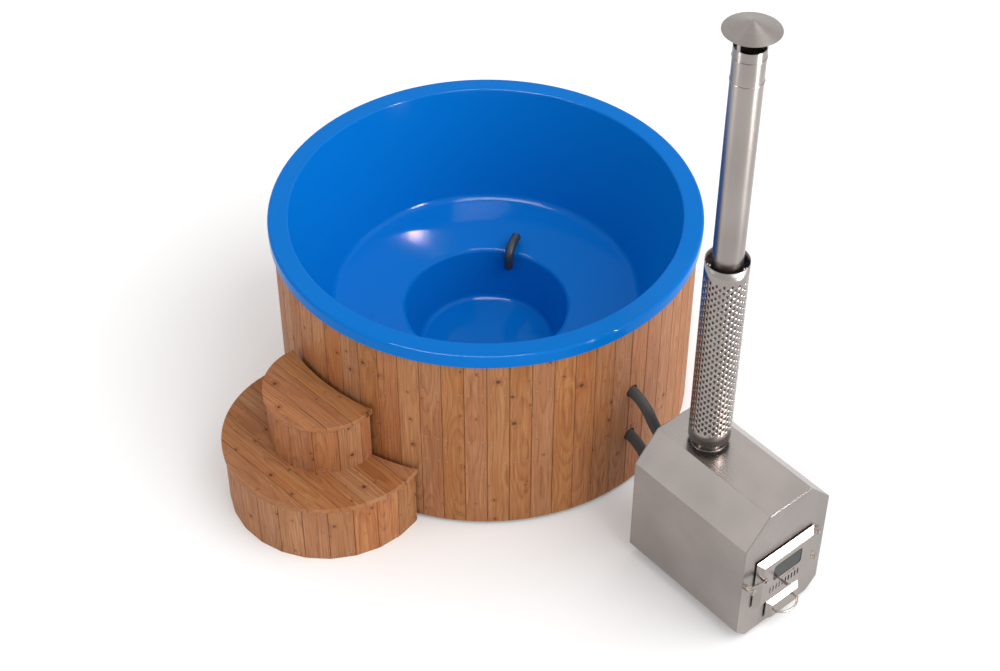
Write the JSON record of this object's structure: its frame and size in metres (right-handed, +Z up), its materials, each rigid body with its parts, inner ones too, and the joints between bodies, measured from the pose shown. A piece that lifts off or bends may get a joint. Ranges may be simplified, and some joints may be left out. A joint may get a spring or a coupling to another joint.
{
  "type": "wooden hot tub",
  "caption": "Round timber-clad soaking tub with a moulded insert, seat and footwell, curved steps, and an outside wood-fired water heater with a chimney.",
  "frame": {"origin": "on the ground, on the tub's axis, at the underside of the middle base bearer", "axes": "+Z up along the tub's axis, -Y from the tub towards the stove and its door, -X towards the steps"},
  "size_m": [2.5711, 3.0529, 2.87],
  "materials": {
    "gelcoat": "glossy moulded blue gelcoat",
    "heat_treated_pine": "oiled heat-treated softwood with knots",
    "frame_timber": "planed untreated softwood",
    "brushed_stainless": "satin brushed stainless sheet",
    "hose_rubber": "matt dark grey rubber",
    "black_plastic": "satin dark grey plastic",
    "tap_brass": "plain turned brass",
    "lever_paint": "dipped red coating",
    "fired_steel": "heat-darkened steel",
    "grate_iron": "raw cast iron",
    "rope_seal": "braided glass-fibre rope",
    "stove_glass": "dark heat-proof glass"
  },
  "bodies": {
    "tub_and_stove": {"tub_shell": "gelcoat", "cladding_boards": "heat_treated_pine", "top_rail": "frame_timber", "middle_rail": "frame_timber", "bottom_rail": "frame_timber", "upper_studs": "frame_timber", "lower_studs": "frame_timber", "base_bearers": "frame_timber", "base_plate": "frame_timber", "floor_joists": "frame_timber", "seat_rail": "frame_timber", "seat_props": "frame_timber", "grab_bar": "black_plastic", "grab_bar_feet": "brushed_stainless", "upper_wall_fitting": "black_plastic", "lower_wall_fitting": "black_plastic", "fitting_nuts": "black_plastic", "fitting_grilles": "black_plastic", "upper_hose": "hose_rubber", "lower_hose": "hose_rubber", "hose_clamps": "brushed_stainless", "drain_grate": "brushed_stainless", "drain_pipe": "black_plastic", "drain_tap": "tap_brass", "lower_step_tread": "heat_treated_pine", "lower_step_boards": "heat_treated_pine", "lower_step_frame": "frame_timber", "upper_step_tread": "heat_treated_pine", "upper_step_boards": "heat_treated_pine", "upper_step_frame": "frame_timber", "stove_casing": "brushed_stainless", "stove_front": "brushed_stainless", "stove_back": "brushed_stainless", "stove_feet": "brushed_stainless", "firebox": "fired_steel", "fire_grate": "grate_iron", "upper_spigot": "brushed_stainless", "lower_spigot": "brushed_stainless", "flue_collar": "brushed_stainless", "hinge_lugs": "brushed_stainless", "hinge_pins": "brushed_stainless", "latch_catch": "brushed_stainless", "lower_flue": "brushed_stainless", "upper_flue": "brushed_stainless", "cap_and_stays": "brushed_stainless", "heat_guard": "brushed_stainless"},
    "door": {"door_pan": "brushed_stainless", "door_liner": "brushed_stainless", "door_gasket": "rope_seal", "window_glass": "stove_glass", "glass_frame": "brushed_stainless", "latch_bolt": "brushed_stainless"},
    "air_slide": {"air_slide": "brushed_stainless", "air_rod": "brushed_stainless"},
    "latch": {"latch_bar": "brushed_stainless"},
    "ash_drawer": {"ash_drawer_box": "brushed_stainless", "ash_drawer_front": "brushed_stainless", "ash_drawer_handle": "brushed_stainless"},
    "drain_valve": {"drain_ball": "brushed_stainless", "drain_lever": "lever_paint"}
  },
  "joints": [
    {"name": "door_hinge", "type": "hinge", "parent": "tub_and_stove", "child": "door", "pos_m": [0.188, -1.992, 0.33], "axis": [0, 0, 1], "range_deg": [0, 110]},
    {"name": "air_slide_travel", "type": "slide", "parent": "door", "child": "air_slide", "axis": [1, 0, 0], "range_m": [0, 0.085]},
    {"name": "latch_pivot", "type": "hinge", "parent": "door", "child": "latch", "pos_m": [-0.139, -2.008, 0.368], "axis": [0, 1, 0], "range_deg": [-18, 75]},
    {"name": "ash_drawer_travel", "type": "slide", "parent": "tub_and_stove", "child": "ash_drawer", "axis": [0, -1, 0], "range_m": [0, 0.36]},
    {"name": "drain_lever_turn", "type": "hinge", "parent": "tub_and_stove", "child": "drain_valve", "pos_m": [1.019, -0.175, 0.055], "axis": [0, 0, 1], "range_deg": [-90, 0]}
  ]
}
